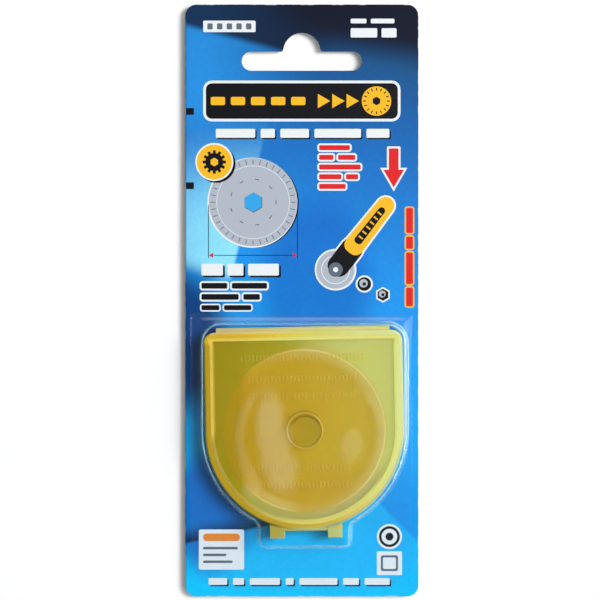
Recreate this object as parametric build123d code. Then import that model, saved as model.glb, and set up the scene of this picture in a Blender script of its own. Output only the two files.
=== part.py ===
from build123d import *
import math
import os

# Carded rotary cutter blade, in millimetres. A printed card carries a clear thermoformed blister,
# and the blister holds a translucent moulded case with one round blade shut in it.
# The origin is the middle of the card's back face. +Y points at the hang hole, +X to the right of
# the printed face and +Z out of it, so the pack lies flat on its back.

# Card
card_width = 65.0
card_length = 165.0
card_thickness = 0.6
card_corner_radius = 3.2

# Hang hole, a slot with a dome in the middle of its upper edge
hang_slot_width = 33.5
hang_slot_height = 5.3
hang_slot_from_top = 15.8
hang_dome_radius = 5.2
hang_blend_radius = 0.8

# Blade
blade_diameter = 45.0
blade_thickness = 0.3
blade_edge_thickness = 0.04
blade_bevel_width = 1.85
blade_hole_to_long_side = 4.2
blade_hole_to_short_side = 4.8
blade_hole_corner_radius = 0.25
blade_mark_count = 24
blade_mark_radius = 19.9
blade_mark_length = 1.4
blade_mark_width = 0.16
blade_mark_depth = 0.04

# Case, whose round end is a half circle about the hub
case_width = 55.0
case_hub_to_hinge_edge = 27.5
case_height = 5.2
case_corner_radius = 3.0
case_wall = 1.4
case_floor = 1.0
case_lid_panel = 1.0
case_rim_width = 1.75
case_rim_height = 0.4
case_rim_slope = 0.9
case_edge_radius = 0.4
case_foot_chamfer = 0.4
tray_height = 2.6
parting_gap = 0.12
hub_post_clearance = 0.2
hub_post_wall = 1.1
hub_post_to_lid = 0.2
blade_seat_radius = 8.0
blade_seat_height = 0.6
hold_ring_clearance = 0.45
hold_ring_wall = 0.85
hold_ring_to_blade = 0.12

# Living hinge, a thin web bent round from the tray to the lid
hinge_width = 48.0
hinge_reach = 1.25
hinge_web = 0.45
hinge_bend_radius = 1.1
hinge_below_rim = 0.3

# Latch at the round end: two feet on the lid, each a hook that holds a lug on the tray
latch_width = 20.0
latch_edge_from_round_end = 0.1
latch_plate = 1.2
foot_width = 4.0
foot_reach = 2.0
foot_length = 3.8
hook_leg = 1.0
hook_barb = 0.35
hook_barb_height = 0.7
hook_bottom_clearance = 0.3
latch_gap = 0.15

# Where the case lies on the card, and how far it turned in its blister
hub_off_middle = 0.7
hub_from_card_bottom = 46.5
case_turn = 1.0

# Blister, one sheet
sheet = 0.3
flange_width = 62.0
flange_length = 77.2
flange_from_card_bottom = 1.75
flange_top_radius = 1.2
flange_bottom_radius = 11.0
step_height = 0.5
step_width = 0.55
step_slope = 0.3
dome_side_clearance = 0.6
dome_top_clearance = 0.15
dome_spread = 0.9
dome_edge_radius = 0.6
dome_corner_radius = 4.5
pocket_side_clearance = 1.6
pocket_end_clearance = 1.7
pocket_corner_radius = 2.0

# Places that follow from the sizes above
hub_y = hub_from_card_bottom - card_length / 2
round_radius = case_width / 2
panel_top = case_height - case_rim_height
lid_bottom = tray_height + parting_gap
lid_ceiling = panel_top - case_lid_panel
seat_top = case_floor + blade_seat_height
blade_top = seat_top + blade_thickness
hub_post_radius = blade_hole_to_long_side - hub_post_clearance
hold_ring_inner = hub_post_radius + hold_ring_clearance
latch_edge = round_radius + latch_edge_from_round_end
foot_end = latch_edge + foot_reach
hub_place = Pos(hub_off_middle, hub_y, card_thickness)
case_place = hub_place * Rot(0, 0, case_turn)


def slab(outline, bottom, top):
    """The outline as a solid between two heights."""
    return Pos(0, 0, bottom) * extrude(outline, amount=top - bottom)


def d_outline(radius, reach, corner_radius):
    """A half circle about the origin, and straight sides up to an edge with two round corners."""
    shape = Circle(radius) + Pos(0, reach / 2) * Rectangle(2 * radius, reach)
    return fillet(shape.vertices().group_by(Axis.Y)[-1], corner_radius)


def strip(width, inner, outer, middle=0.0):
    """A rectangle of the given width that runs along -Y from inner to outer."""
    return Pos(middle, -(inner + outer) / 2) * Rectangle(width, outer - inner)


def hang_hole():
    """Slot with full round ends, and the dome that a round peg slides into."""
    dome_middle = Pos(0, hang_slot_height / 2)
    hole = SlotOverall(hang_slot_width, hang_slot_height) + dome_middle * Circle(hang_dome_radius)
    corners = [v for v in hole.vertices() if abs(abs(v.X) - hang_dome_radius) < 0.01]
    return fillet(corners, hang_blend_radius)


def backing_card():
    """Flat board with round corners and the hang hole."""
    board = RectangleRounded(card_width, card_length, card_corner_radius)
    hole = Pos(0, card_length / 2 - hang_slot_from_top) * hang_hole()
    return slab(board - hole, 0, card_thickness)


def blade_hole():
    """Six sided hole with three long and three short sides."""
    near = RegularPolygon(blade_hole_to_long_side, 3, major_radius=False)
    far = RegularPolygon(blade_hole_to_short_side, 3, major_radius=False, rotation=180)
    hole = near & far
    return fillet(hole.vertices(), blade_hole_corner_radius)


def blade():
    """Thin disc ground to an edge from both sides, lying on the seat of the case."""
    radius = blade_diameter / 2
    flat = radius - blade_bevel_width
    half = blade_thickness / 2
    half_edge = blade_edge_thickness / 2
    section = Polyline(
        (0, -half), (flat, -half), (radius, -half_edge), (radius, half_edge), (flat, half), (0, half),
        close=True,
    )
    disc = revolve(Plane.XZ * make_face(section), Axis.Z)
    disc -= slab(blade_hole(), -blade_thickness, blade_thickness)
    mark = Box(blade_mark_length, blade_mark_width, 2 * blade_mark_depth)
    marks = PolarLocations(blade_mark_radius - blade_mark_length / 2, blade_mark_count)
    disc -= Pos(0, 0, half) * marks * mark
    return case_place * Pos(0, 0, seat_top + half) * disc


def case_outline():
    return d_outline(round_radius, case_hub_to_hinge_edge, case_corner_radius)


def case_inside():
    return offset(case_outline(), amount=-case_wall)


def feet(inner, outer):
    """The two feet of the latch between two distances from the hub, seen from above."""
    middle = (latch_width - foot_width) / 2
    return strip(foot_width, inner, outer, -middle) + strip(foot_width, inner, outer, middle)


def tray():
    """Open tray with the seat of the blade, the hub post and the two lugs of the latch."""
    shell = slab(case_outline(), 0, tray_height)
    shell = chamfer(shell.edges().group_by(Axis.Z)[0], case_foot_chamfer)
    lug_bottom = hook_bottom_clearance + hook_barb_height + latch_gap
    lug_end = foot_end - hook_leg - latch_gap
    shell += slab(feet(round_radius - case_rim_width, lug_end), lug_bottom, tray_height)
    shell -= slab(case_inside(), case_floor, tray_height)
    shell += slab(Circle(blade_seat_radius), case_floor, seat_top)
    post = Circle(hub_post_radius) - Circle(hub_post_radius - hub_post_wall)
    shell += slab(post, case_floor, lid_ceiling - hub_post_to_lid)
    return shell


def lid_hooks():
    """Legs under the feet of the lid, with a barb that reaches under each lug."""
    bottom = hook_bottom_clearance
    outside = -foot_end
    inside = outside + hook_leg
    section = Polyline(
        (outside, case_height - latch_plate),
        (outside, bottom),
        (inside, bottom),
        (inside + hook_barb, bottom + hook_barb_height),
        (inside, bottom + hook_barb_height),
        (inside, case_height - latch_plate),
        close=True,
    )
    leg = extrude(Plane.YZ * make_face(section), amount=foot_width / 2, both=True)
    middle = (latch_width - foot_width) / 2
    return Pos(-middle, 0, 0) * leg + Pos(middle, 0, 0) * leg


def lid():
    """Lid with a raised rim round its panel, the ring that holds the blade down, and the latch."""
    shell = slab(case_outline(), lid_bottom, case_height)
    shell = fillet(shell.edges().group_by(Axis.Z)[-1], case_edge_radius)
    plate = strip(latch_width, round_radius - case_rim_width, latch_edge)
    shell += slab(plate, case_height - latch_plate, case_height - case_edge_radius / 2)
    shell += slab(feet(foot_end - foot_length, foot_end), case_height - latch_plate, case_height)
    shell += lid_hooks()
    panel = offset(case_outline(), amount=-case_rim_width - case_rim_slope)
    slope = math.degrees(math.atan2(case_rim_slope, case_rim_height))
    shell -= Pos(0, 0, panel_top) * extrude(panel, amount=case_rim_height, taper=-slope)
    shell -= slab(case_inside(), lid_bottom, lid_ceiling)
    ring = Circle(hold_ring_inner + hold_ring_wall) - Circle(hold_ring_inner)
    shell += slab(ring, blade_top + hold_ring_to_blade, lid_ceiling)
    return shell


def bent_band(start, end, half_height, bend_radius):
    """Section that runs out from start to end, with its two outer corners bent round."""
    band = Pos((start + end) / 2, case_height / 2) * Rectangle(end - start, 2 * half_height)
    return fillet(band.vertices().group_by(Axis.X)[-1], bend_radius)


def living_hinge():
    """Thin web that leaves the tray, bends round outside the walls and meets the lid."""
    root = case_hub_to_hinge_edge - case_wall / 2
    reach = case_hub_to_hinge_edge + hinge_reach
    half_height = case_height / 2 - hinge_below_rim
    section = bent_band(root, reach, half_height, hinge_bend_radius) - bent_band(
        root, reach - hinge_web, half_height - hinge_web, hinge_bend_radius - hinge_web
    )
    return extrude(Plane.YZ * section, amount=hinge_width / 2, both=True)


def blade_case():
    """One moulding, shut round the blade."""
    return case_place * (tray() + lid() + living_hinge())


def formed_outline(grow):
    """Outline of the blister's dome and of its pocket over the latch, seen from above."""
    dome = d_outline(
        round_radius + grow, case_hub_to_hinge_edge + hinge_reach + grow, dome_corner_radius + grow
    )
    pocket_width = latch_width + 2 * (pocket_side_clearance + grow)
    outline = dome + strip(pocket_width, 0, foot_end + pocket_end_clearance + grow)
    sharp = outline.vertices().filter_by(lambda v: v.Y < 0)
    return fillet(sharp, pocket_corner_radius)


def form(skin):
    """The space inside the blister, or with the sheet's thickness as skin, all that it encloses."""
    height = case_height + dome_top_clearance
    draft = math.atan2(dome_spread, height)
    grow = dome_side_clearance + dome_spread + skin / math.cos(draft)
    dome = extrude(formed_outline(grow), amount=height + skin, taper=math.degrees(draft))
    rim = dome.edges().group_by(Axis.Z)[-1]
    if skin:
        dome = fillet(rim, dome_edge_radius + skin)
    else:
        # a bevel that touches the arc of the inner radius at its middle
        dome = chamfer(rim, (2 - math.sqrt(2)) * dome_edge_radius)
    lean = math.degrees(math.atan2(step_slope, step_height))
    step = offset(formed_outline(grow), amount=step_width)
    return dome + extrude(step, amount=step_height + skin, taper=lean)


def blister():
    """One clear sheet: flange, low step, dome and pocket."""
    flange = Rectangle(flange_width, flange_length)
    flange = fillet(flange.vertices().group_by(Axis.Y)[-1], flange_top_radius)
    flange = fillet(flange.vertices().group_by(Axis.Y)[0], flange_bottom_radius)
    flange_y = -card_length / 2 + flange_from_card_bottom + flange_length / 2
    shell = Pos(0, flange_y, card_thickness) * slab(flange, 0, sheet)
    return shell + hub_place * form(sheet) - hub_place * form(0)


os.makedirs("parts", exist_ok=True)
for name, make in {
    "backing_card": backing_card,
    "blister": blister,
    "blade_case": blade_case,
    "blade": blade,
}.items():
    export_step(make(), f"parts/{name}.step")
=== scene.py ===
import logging
import math
from dataclasses import dataclass
from enum import Enum

import bmesh
import bpy
from mathutils import Matrix, Vector


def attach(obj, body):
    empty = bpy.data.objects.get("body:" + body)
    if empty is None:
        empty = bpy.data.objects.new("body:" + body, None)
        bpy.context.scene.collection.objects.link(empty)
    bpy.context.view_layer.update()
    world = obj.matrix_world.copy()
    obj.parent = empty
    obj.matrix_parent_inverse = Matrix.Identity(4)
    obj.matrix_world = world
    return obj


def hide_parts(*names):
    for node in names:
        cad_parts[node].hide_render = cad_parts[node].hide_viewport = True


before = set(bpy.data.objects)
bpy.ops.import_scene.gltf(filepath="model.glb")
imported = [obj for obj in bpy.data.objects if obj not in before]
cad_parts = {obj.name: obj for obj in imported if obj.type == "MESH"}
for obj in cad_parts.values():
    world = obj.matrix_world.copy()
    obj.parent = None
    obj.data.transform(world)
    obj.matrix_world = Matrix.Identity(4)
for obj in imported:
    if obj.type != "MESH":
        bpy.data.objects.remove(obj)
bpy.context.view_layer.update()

MM = 0.001
BODY = "root"

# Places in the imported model, in millimetres
CARD_FACE = 0.6
CARD_HALF_LENGTH = 82.5
CARD_HALF_WIDTH = 32.5
HUB = (0.7, -36.0)
CASE_TURN = 1.0
PANEL_FACE = 5.4
BLADE_RADIUS = 22.5
CASE_HALF = 27.5
RIM_DROP = 0.42

# Unevenness of the moulding: waves a metre, detail, depth in metres and strength
MOULD_WAVES = (240, 3.0)
MOULD_RELIEF = (0.04 * MM, 0.25)

Colour = tuple[float, float, float, float]
Spot = tuple[float, float]
Socket = bpy.types.NodeSocket
Number = float | Socket
Tint = Colour | Socket

log = logging.getLogger("carded_blade")


def srgb(red: int, green: int, blue: int) -> Colour:
    """Turn a colour as written for a screen into the linear colour that a shader takes.

    Args:
        red: Red, 0 to 255.
        green: Green, 0 to 255.
        blue: Blue, 0 to 255.

    Returns:
        The linear colour with an alpha of 1.
    """
    def channel(value: int) -> float:
        """One channel by the usual curve of screens."""
        share = value / 255
        return share / 12.92 if share <= 0.04045 else ((share + 0.055) / 1.055) ** 2.4

    return channel(red), channel(green), channel(blue), 1.0


class Recipe:
    """A node tree of a material or of the world, with short calls for the nodes used here.

    Its calls take places in millimetres and shares from 0 to 1.
    """

    def __init__(self, tree: bpy.types.NodeTree, output: str = "OutputMaterial") -> None:
        """Empty the tree and give it its output node.

        Args:
            tree: The tree.
            output: Type of the output node.
        """
        self.tree = tree
        self.tree.nodes.clear()
        self.out = self.tree.nodes.new("ShaderNode" + output)

    @classmethod
    def of_material(cls, name: str) -> "Recipe":
        """Start a new material.

        Args:
            name: The material's name.

        Returns:
            The recipe of its empty tree.
        """
        material = bpy.data.materials.new(name)
        material.use_nodes = True
        recipe = cls(material.node_tree)
        recipe.material = material
        return recipe

    def feed(self, socket: Socket, value: object) -> None:
        """Set a socket to a plain value, or link it to another node's output.

        Args:
            socket: The input socket.
            value: The value or the output.
        """
        if isinstance(value, Socket):
            self.tree.links.new(value, socket)
        else:
            socket.default_value = value

    def node(self, kind: str, inputs: dict | None = None, **settings: object) -> bpy.types.Node:
        """Add a node.

        Args:
            kind: The node's type, without the ShaderNode that all names start with.
            inputs: Values or outputs for its input sockets, by name or place.
            **settings: The node's own settings.

        Returns:
            The new node.
        """
        made = self.tree.nodes.new("ShaderNode" + kind)
        for key, value in settings.items():
            setattr(made, key, value)
        for key, value in (inputs or {}).items():
            self.feed(made.inputs[key], value)
        return made

    def calc(self, operation: str, *values: Number) -> Socket:
        """Work out one number from others.

        Args:
            operation: What the Math node does.
            *values: What it does it to.

        Returns:
            The result.
        """
        made = self.node("Math", operation=operation)
        for place, value in enumerate(values):
            self.feed(made.inputs[place], value)
        return made.outputs[0]

    def chain(self, operation: str, first: Number, others: tuple[Number, ...]) -> Number:
        """Work through a list of numbers two by two.

        Args:
            operation: What is done to each pair.
            first: The first number.
            others: The ones that follow.

        Returns:
            The result.
        """
        for other in others:
            first = self.calc(operation, first, other)
        return first

    def times(self, first: Number, *others: Number) -> Number:
        """Multiply two or more numbers."""
        return self.chain("MULTIPLY", first, others)

    def plus(self, first: Number, *others: Number) -> Number:
        """Add two or more numbers."""
        return self.chain("ADD", first, others)

    def most(self, first: Number, *others: Number) -> Number:
        """The highest of two or more numbers."""
        return self.chain("MAXIMUM", first, others)

    def less(self, first: Number, second: Number) -> Socket:
        """The first number less the second."""
        return self.calc("SUBTRACT", first, second)

    def rest(self, share: Number) -> Socket:
        """What a share leaves of 1."""
        return self.less(1.0, share)

    def size(self, value: Number) -> Socket:
        """A number without its sign."""
        return self.calc("ABSOLUTE", value)

    def blend(self, share: Number, low: Tint, high: Tint) -> Socket:
        """Mix two colours.

        Args:
            share: 0 gives the low one and 1 the high one.
            low: The colour at 0.
            high: The colour at 1.

        Returns:
            The mixed colour.
        """
        made = self.node("Mix", data_type="RGBA")
        for place, value in ((0, share), (6, low), (7, high)):
            self.feed(made.inputs[place], value)
        return made.outputs[2]

    def between(self, share: Number, low: Number, high: Number) -> Socket:
        """Mix two numbers, all low at a share of 0 and all high at 1."""
        return self.node("MapRange", {0: share, 3: low, 4: high}).outputs[0]

    def ease(self, value: Number, start: float, end: float) -> Socket:
        """Rise softly from 0 to 1.

        Args:
            value: What the share follows.
            start: Where it is 0.
            end: Where it is 1, which may be lower than start.

        Returns:
            The share.
        """
        if start > end:
            return self.rest(self.ease(value, end, start))
        made = self.node("MapRange", {0: value, 1: start, 2: end}, interpolation_type="SMOOTHSTEP")
        return made.outputs[0]

    def band(self, value: Number, rise: Spot, fall: Spot) -> Socket:
        """Rise softly from 0 to 1 over one stretch, and fall again over the next."""
        return self.times(self.ease(value, *rise), self.ease(value, fall[1], fall[0]))

    def ramp(self, value: Number, stops: tuple[tuple[float, Colour], ...]) -> Socket:
        """Colour a number between 0 and 1.

        Args:
            value: The number.
            stops: Places on the way with their colours.

        Returns:
            The colour.
        """
        made = self.node("ValToRGB", {0: value})
        keys = made.color_ramp.elements
        keys[0].position, keys[0].color = stops[0]
        keys[1].position, keys[1].color = stops[-1]
        for place, colour in stops[1:-1]:
            keys.new(place).color = colour
        return made.outputs[0]

    def noise(self, scale: float, detail: float = 2.0) -> Socket:
        """Cloudy noise over the object's own place, with scale in waves a metre."""
        made = self.node("TexNoise", {"Vector": self.place(), "Scale": scale, "Detail": detail})
        return made.outputs[0]

    def vary(self, colour: Tint, pattern: Number, amount: float) -> Socket:
        """Make a colour lighter and darker by a pattern from 0 to 1."""
        light = self.between(pattern, 1.0 - amount, 1.0 + amount)
        return self.node("HueSaturation", {"Value": light, "Color": colour}).outputs[0]

    def place(self) -> Socket:
        """The point on the surface, in the object's own metres."""
        return self.node("TexCoord").outputs["Object"]

    def axes(self) -> tuple[Socket, ...]:
        """The point's x, y and z in millimetres."""
        in_mm = self.node("VectorMath", {0: self.place(), 3: 1 / MM}, operation="SCALE")
        return tuple(self.node("SeparateXYZ", {0: in_mm.outputs[0]}).outputs)

    def upward(self) -> Socket:
        """How far the surface faces up, from -1 to 1."""
        return self.node("SeparateXYZ", {0: self.node("NewGeometry").outputs["Normal"]}).outputs[2]

    def length(self, x: Number, y: Number) -> Socket:
        """Length of a flat vector."""
        flat = self.node("CombineXYZ", {0: x, 1: y}).outputs[0]
        return self.node("VectorMath", {0: flat}, operation="LENGTH").outputs["Value"]

    def away(self, x: Number, y: Number, middle: Spot, stretch: Spot = (1.0, 1.0)) -> Socket:
        """Distance from a spot in the card's plane.

        Args:
            x: The point's x.
            y: The point's y.
            middle: The spot.
            stretch: What x and y are multiplied by, so that a circle turns into an oval.

        Returns:
            The distance.
        """
        across = self.times(self.less(x, middle[0]), stretch[0])
        along = self.times(self.less(y, middle[1]), stretch[1])
        return self.length(across, along)

    def bump(self, height: Number, distance: float, strength: float = 1.0) -> Socket:
        """A normal bent by a height, where distance is the depth in metres."""
        made = self.node("Bump", {"Height": height, "Distance": distance, "Strength": strength})
        return made.outputs[0]

    def surface(self, **inputs: object) -> Socket:
        """Add a Principled shader.

        Args:
            **inputs: Its sockets, named by words joined by underscores.

        Returns:
            The shader.
        """
        made = self.node("BsdfPrincipled")
        for key, value in inputs.items():
            self.feed(made.inputs[key.replace("_", " ")], value)
        return made.outputs[0]

    def see_through(self, tint: Tint, share: Number, shader: Socket) -> Socket:
        """Let light pass in a tint, but for the given share, which the shader takes."""
        clear = self.node("BsdfTransparent", {"Color": tint}).outputs[0]
        return self.node("MixShader", {0: share, 1: clear, 2: shader}).outputs[0]

    def finish(self, shader: Socket) -> bpy.types.Material:
        """Close the tree with the shader that the surface shows."""
        self.feed(self.out.inputs["Surface"], shader)
        return self.material


@dataclass(frozen=True)
class Patch:
    """A soft oval place with another colour or finish, used for darker patches of the print and
    for painted reflections on the clear sheet.
    """

    middle: Spot
    stretch: Spot
    reach: float
    share: float
    core: float = 0.5
    colour: Colour | None = None

    def amount(self, r: Recipe, x: Socket, y: Socket, ragged: Number = 0.0) -> Number:
        """How much of the patch there is at a point.

        Args:
            r: The recipe.
            x: The point's x.
            y: The point's y.
            ragged: What is added to the distance, for an uneven outline.

        Returns:
            A share from 0 to the patch's own.
        """
        far = r.plus(r.away(x, y, self.middle, self.stretch), ragged)
        return r.times(r.ease(far, self.reach, self.reach * self.core), self.share)


@dataclass(frozen=True)
class LightSheet:
    """A slanted band of light in the print, with one crisp edge, that fades across its width.

    The far side lies at turn degrees from +X, and edge is the crisp edge's distance from the
    middle of the card.
    """

    turn: float
    edge: float
    width: float
    crisp: float = 1.2

    def amount(self, r: Recipe, x: Socket, y: Socket) -> Number:
        """How much light there is at a point.

        Args:
            r: The recipe.
            x: The point's x.
            y: The point's y.

        Returns:
            A share from 0 to 1.
        """
        angle = math.radians(self.turn)
        across = r.plus(r.times(x, math.cos(angle)), r.times(y, math.sin(angle)))
        crisp = r.ease(across, self.edge, self.edge + self.crisp)
        return r.times(crisp, r.ease(across, self.edge + self.width, self.edge))


@dataclass(frozen=True)
class PrintedBoard:
    """Varnished print on the card's face, bare grey board on its back and cut edges."""

    name: str = "printed_board"
    ground: tuple[tuple[float, Colour], ...] = (
        (0.0, srgb(12, 196, 255)), (0.3, srgb(20, 162, 242)), (0.6, srgb(30, 144, 232)),
        (0.75, srgb(26, 116, 200)), (0.85, srgb(22, 98, 170)), (0.93, srgb(22, 84, 140)),
        (0.985, srgb(9, 24, 46)),
    )
    night: Colour = srgb(8, 14, 38)
    royal: Colour = srgb(4, 126, 226)
    bright: Colour = srgb(38, 146, 228)
    sheen: Colour = srgb(152, 236, 255)
    board: Colour = srgb(190, 186, 177)
    fibre: Colour = srgb(214, 211, 204)
    core: Colour = srgb(222, 222, 218)
    # Darker patches of the print; the second, beside the case at the left, also stands in for part
    # of the case's shadow there, as painted shadow.
    shades: tuple[Patch, ...] = (
        Patch((4.0, 6.0), (1.0, 0.7), 20.0, 0.45, colour=srgb(0, 66, 178)),
        Patch((-35.0, -11.0), (1.0, 0.7), 18.0, 0.9, colour=srgb(0, 42, 108)),
        Patch((-26.0, -59.0), (1.0, 0.7), 15.0, 0.75, colour=srgb(0, 66, 178)),
    )
    sweep: LightSheet = LightSheet(167.0, 20.0, 44.0)
    low_light: LightSheet = LightSheet(45.0, -25.3, 26.0)
    dark_fold: LightSheet = LightSheet(102.4, -59.75, 6.5)
    ground_lean: float = 0.25
    cap_lean: float = 0.265
    light_share: float = 0.9
    low_share: float = 0.6
    fold_share: float = 0.95
    cap_share: float = 0.9
    # How dark the painted shade along the left cut edge is.
    painted_edge_share: float = 0.55
    wear_share: float = 0.8
    left_wear: float = 0.3
    grain: float = 0.1
    speck: float = 0.12
    print_roughness: float = 0.3
    board_roughness: float = 0.85
    fibre_waves: Spot = (700, 6.0)
    core_waves: Spot = (1800, 2.0)
    varnish_waves: Spot = (2400, 3.0)
    varnish_relief: Spot = (0.012 * MM, 0.4)
    dot_waves: Spot = (1100, 4.0)
    cloud_waves: Spot = (60, 2.0)
    wear_and_sheen_waves: Spot = (420, 2.0)

    def make(self) -> bpy.types.Material:
        """Build the material.

        Returns:
            The material.
        """
        r = Recipe.of_material(self.name)
        x, y, _ = r.axes()
        facing = r.upward()
        back = r.blend(r.noise(*self.fibre_waves), self.board, self.fibre)
        edge = r.vary(self.core, r.noise(*self.core_waves), self.grain)
        printed = r.ease(facing, 0.4, 0.6)
        turned = r.ease(facing, -0.4, -0.6)
        return r.finish(r.surface(
            Base_Color=r.blend(printed, r.blend(turned, edge, back), self.face(r, x, y)),
            Roughness=r.between(printed, self.board_roughness, self.print_roughness),
            Specular_IOR_Level=0.35,
            Normal=r.bump(r.noise(*self.varnish_waves), *self.varnish_relief),
        ))

    def face(self, r: Recipe, x: Socket, y: Socket) -> Socket:
        """Night blue at the top and bright below, with soft sheets of light in the print, darker
        patches of which one also paints part of the case's shadow, and painted shade along the
        left cut edge.

        Args:
            r: The recipe.
            x: The point's x.
            y: The point's y.

        Returns:
            The colour of the printed ground.
        """
        lean = r.plus(y, r.times(x, self.ground_lean))
        along = r.calc("DIVIDE", r.plus(lean, CARD_HALF_LENGTH), 2 * CARD_HALF_LENGTH)
        ground = r.ramp(along, self.ground)
        dawn = r.times(r.ease(x, 6.0, -30.0), r.ease(y, 40.0, 56.0))
        ground = r.blend(r.times(dawn, self.light_share), ground, self.bright)
        sweep = r.times(self.sweep.amount(r, x, y), r.ease(y, 52.0, 20.0), r.ease(lean, -1.0, 3.4))
        ground = r.blend(r.times(sweep, self.light_share), ground, self.sheen)
        for shade in self.shades:
            ground = r.blend(shade.amount(r, x, y), ground, shade.colour)
        low = r.times(self.low_light.amount(r, x, y), r.ease(x, 9.0, 15.0))
        ground = r.blend(r.times(low, self.low_share), ground, self.royal)
        fold = r.times(self.dark_fold.amount(r, x, y), r.ease(x, 2.0, -10.0))
        ground = r.blend(r.times(fold, self.fold_share), ground, self.night)
        crisp = r.ease(r.plus(y, r.times(x, self.cap_lean)), 66.8, 69.4)
        cap = r.between(r.ease(x, -6.0, 12.0), crisp, r.ease(y, 65.0, 78.0))
        ground = r.blend(r.times(cap, self.cap_share), ground, self.night)
        ground = r.vary(ground, r.noise(*self.dot_waves), self.speck)
        ground = r.vary(ground, r.noise(*self.cloud_waves), self.grain)
        # Painted shade: a dark line along the left cut edge, with less wear there.
        left_edge_shade = r.ease(x, -32.0, -32.4)
        ground = r.blend(r.times(left_edge_shade, self.painted_edge_share), ground, self.night)
        wear_and_sheen = r.times(self.wear_and_sheen(r, x, y), r.between(left_edge_shade, 1.0, self.left_wear))
        return r.blend(wear_and_sheen, ground, self.core)

    def wear_and_sheen(self, r: Recipe, x: Socket, y: Socket) -> Number:
        """Where the print has come off along the cut edge of the card.

        Args:
            r: The recipe.
            x: The point's x.
            y: The point's y.

        Returns:
            The share of bare board.
        """
        out = r.most(r.less(r.size(x), CARD_HALF_WIDTH), r.less(r.size(y), CARD_HALF_LENGTH))
        rough = r.ease(r.noise(*self.wear_and_sheen_waves), 0.5, 0.62)
        return r.times(r.ease(out, -0.22, -0.06), rough, self.wear_share)


class Ink(Enum):
    """The inks of the card's print."""

    BLACK = ("ink_black", srgb(10, 12, 20))
    WHITE = ("ink_white", srgb(236, 242, 246))
    YELLOW = ("ink_yellow", srgb(250, 190, 38))
    ORANGE = ("ink_orange", srgb(240, 140, 52))
    RED = ("ink_red", srgb(226, 36, 40))
    STEEL = ("ink_steel", srgb(178, 187, 199))
    SLATE = ("ink_slate", srgb(98, 108, 124))
    SKY = ("ink_sky", srgb(52, 168, 236))


@dataclass(frozen=True)
class PrintInk:
    """Opaque ink under the card's varnish, with the specks of its halftone."""

    ink: Ink
    speck: float = 0.05
    speck_waves: Spot = (1500, 3.0)
    speck_relief: Spot = (0.01 * MM, 0.3)

    def make(self) -> bpy.types.Material:
        """Build the material.

        Returns:
            The material.
        """
        name, colour = self.ink.value
        r = Recipe.of_material(name)
        specks = r.noise(*self.speck_waves)
        return r.finish(r.surface(
            Base_Color=r.vary(colour, specks, self.speck),
            Roughness=r.between(specks, 0.26, 0.36),
            Specular_IOR_Level=0.35,
            Normal=r.bump(specks, *self.speck_relief),
        ))


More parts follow.
